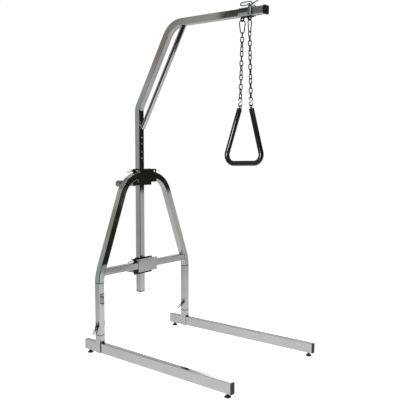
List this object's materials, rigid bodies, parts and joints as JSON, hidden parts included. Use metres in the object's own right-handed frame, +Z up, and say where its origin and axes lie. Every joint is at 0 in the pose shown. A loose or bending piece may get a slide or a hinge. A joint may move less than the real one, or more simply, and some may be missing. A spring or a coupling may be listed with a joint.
{
  "type": "free-standing bed trapeze",
  "caption": "Free-standing bed trapeze: arched square-tube stand on floor rails, cranked mast with boom and brace, and a triangular grip hung on chains.",
  "frame": {"origin": "floor level, under the centre of the whole outline", "axes": "+Z up, -Y the way the boom reaches over the bed, +X across the bed"},
  "size_m": [0.7248, 1.0724, 1.7276],
  "materials": {
    "chrome": "bright",
    "dark_chrome": "worn bright",
    "wire_steel": "zinc plated",
    "black_steel": "satin",
    "black_plastic": "matt",
    "vinyl": "gloss"
  },
  "bodies": {
    "frame": {"left_rail": "chrome", "right_rail": "chrome", "left_leg_stub": "chrome", "right_leg_stub": "chrome", "left_leg_tube": "chrome", "right_leg_tube": "chrome", "arch": "chrome", "crossbar": "chrome", "upper_clamp_plate": "chrome", "lower_clamp_plate": "chrome", "upper_clamp_pin": "chrome", "lower_clamp_pin": "chrome", "left_leg_splice": "wire_steel", "right_leg_splice": "wire_steel", "left_leg_pin": "wire_steel", "right_leg_pin": "wire_steel", "left_leg_clip": "wire_steel", "right_leg_clip": "wire_steel", "upper_clamp_clip": "wire_steel", "lower_clamp_clip": "wire_steel", "upper_clamp_bracket": "black_steel", "lower_clamp_bracket": "black_steel", "left_front_plug": "black_plastic", "left_rear_plug": "black_plastic", "right_front_plug": "black_plastic", "right_rear_plug": "black_plastic"},
    "left_front_foot": {"left_front_foot": "black_plastic"},
    "left_rear_foot": {"left_rear_foot": "black_plastic"},
    "right_front_foot": {"right_front_foot": "black_plastic"},
    "right_rear_foot": {"right_rear_foot": "black_plastic"},
    "upper_knob": {"upper_clamp_screw": "chrome", "upper_clamp_knob": "dark_chrome"},
    "lower_knob": {"lower_clamp_screw": "chrome", "lower_clamp_knob": "dark_chrome"},
    "mast": {"lower_mast": "chrome", "mast_plug": "black_plastic", "mast_splice": "wire_steel", "boom": "chrome", "boom_cap": "black_plastic", "brace": "chrome"},
    "hanger": {"hanger_sleeve": "chrome", "hanger_pin": "chrome", "hanger_clip": "wire_steel", "hanger_yoke": "black_steel"},
    "rear_snap": {"rear_snap_link": "chrome"},
    "rear_run": {"rear_chain": "wire_steel", "rear_hook": "wire_steel"},
    "front_snap": {"front_snap_link": "chrome"},
    "front_run": {"front_chain": "wire_steel", "front_hook": "wire_steel"},
    "handle": {"handle": "vinyl", "rear_handle_eye": "wire_steel", "front_handle_eye": "wire_steel"}
  },
  "joints": [
    {"name": "left_front_foot_level", "type": "slide", "parent": "frame", "child": "left_front_foot", "axis": [0, 0, -1], "range_m": [0, 0.012]},
    {"name": "left_rear_foot_level", "type": "slide", "parent": "frame", "child": "left_rear_foot", "axis": [0, 0, -1], "range_m": [0, 0.012]},
    {"name": "right_front_foot_level", "type": "slide", "parent": "frame", "child": "right_front_foot", "axis": [0, 0, -1], "range_m": [0, 0.012]},
    {"name": "right_rear_foot_level", "type": "slide", "parent": "frame", "child": "right_rear_foot", "axis": [0, 0, -1], "range_m": [0, 0.012]},
    {"name": "mast_height", "type": "slide", "parent": "frame", "child": "mast", "axis": [0, 0, 1], "range_m": [-0.05, 0.08]},
    {"name": "upper_clamp_turn", "type": "hinge", "parent": "frame", "child": "upper_knob", "pos_m": [0, 0.45, 0.865], "axis": [0, 1, 0], "continuous": true},
    {"name": "lower_clamp_turn", "type": "hinge", "parent": "frame", "child": "lower_knob", "pos_m": [0, 0.45, 0.3776], "axis": [0, 1, 0], "continuous": true},
    {"name": "hanger_position", "type": "slide", "parent": "mast", "child": "hanger", "axis": [0, -0.9996, -0.0287], "range_m": [-0.3, 0.05]},
    {"name": "rear_sideways_swing", "type": "hinge", "parent": "hanger", "child": "rear_snap", "pos_m": [0, -0.32855, 1.6402], "axis": [0, 1, 0], "range_deg": [-20, 20]},
    {"name": "front_sideways_swing", "type": "hinge", "parent": "hanger", "child": "front_snap", "pos_m": [0, -0.37055, 1.6402], "axis": [0, 1, 0], "range_deg": [-20, 20]},
    {"name": "rear_chain_swing", "type": "hinge", "parent": "rear_snap", "child": "rear_run", "pos_m": [0, -0.32855, 1.59388], "axis": [1, 0, 0], "range_deg": [-18, 18]},
    {"name": "front_chain_swing", "type": "hinge", "parent": "front_snap", "child": "front_run", "pos_m": [0, -0.37055, 1.59388], "axis": [1, 0, 0], "range_deg": [-18, 18]},
    {"name": "handle_tilt", "type": "hinge", "parent": "rear_run", "child": "handle", "pos_m": [0, -0.31855, 1.25348], "axis": [1, 0, 0], "range_deg": [-18, 18]}
  ],
  "couplings": [
    {"joint": "front_sideways_swing", "follows": "rear_sideways_swing", "ratio": 1},
    {"joint": "front_chain_swing", "follows": "rear_chain_swing", "ratio": 1},
    {"joint": "handle_tilt", "follows": "rear_chain_swing", "ratio": -0.6774}
  ]
}
